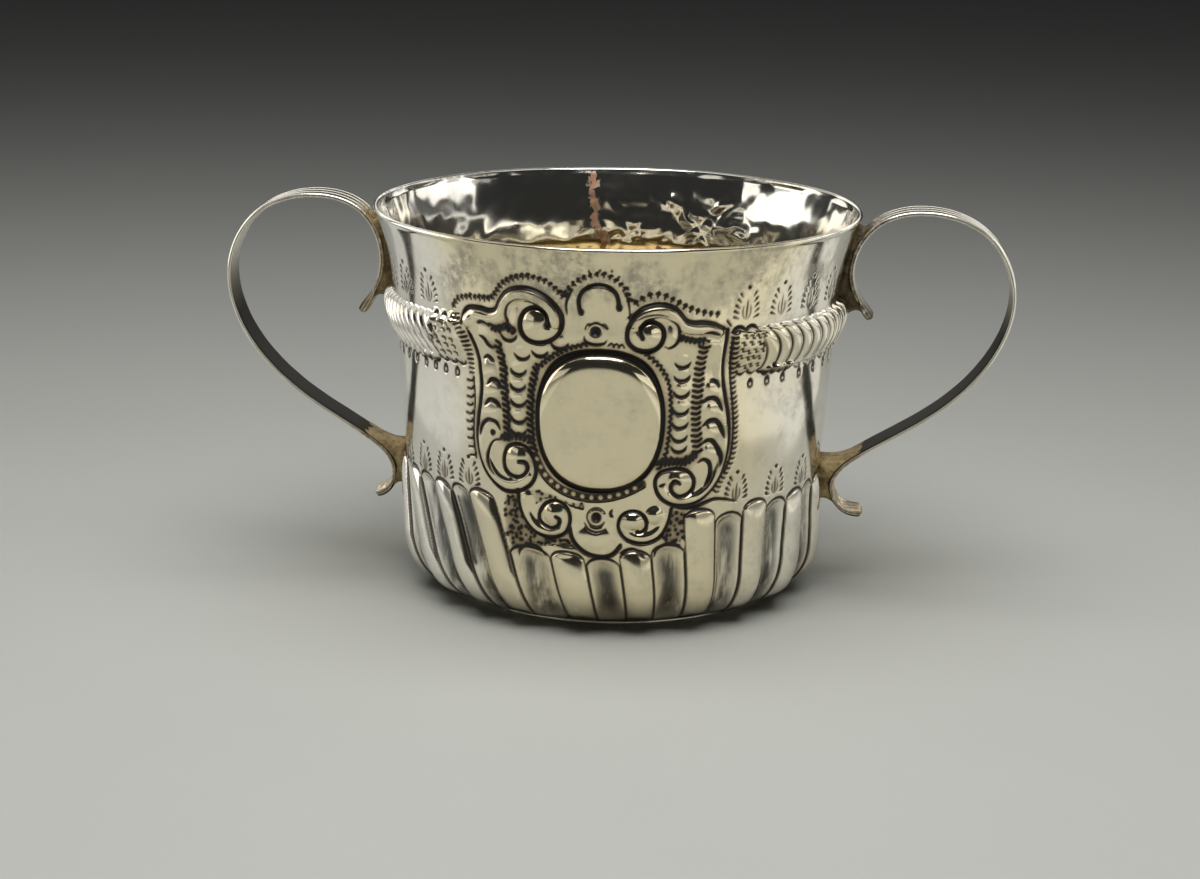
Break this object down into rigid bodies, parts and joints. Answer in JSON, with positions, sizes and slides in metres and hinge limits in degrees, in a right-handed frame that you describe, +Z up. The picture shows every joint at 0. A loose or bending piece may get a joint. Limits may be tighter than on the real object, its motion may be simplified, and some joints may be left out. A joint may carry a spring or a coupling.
{
  "type": "caudle cup",
  "caption": "Low silver drinking cup with flared rim, slanting rope band, fluted foot, oval boss in a cartouche and reeded strap handles on opposite sides.",
  "frame": {"origin": "on the table plane, under the middle of the cup", "axes": "+Z up, +X towards the right handle, -Y towards the cartouche"},
  "size_m": [0.1504, 0.0914, 0.0742],
  "materials": {
    "silver": "polished silver, dark in the chased lines, grey smudges under the rim",
    "strap_silver": "polished silver with dark reed grooves",
    "solder": "grainy brown solder"
  },
  "bodies": {
    "root": {"cup_body": "silver", "foot_wire": "strap_silver", "right_handle": "strap_silver", "left_handle": "strap_silver", "right_upper_solder": "solder", "right_lower_solder": "solder", "left_upper_solder": "solder", "left_lower_solder": "solder"}
  },
  "joints": []
}
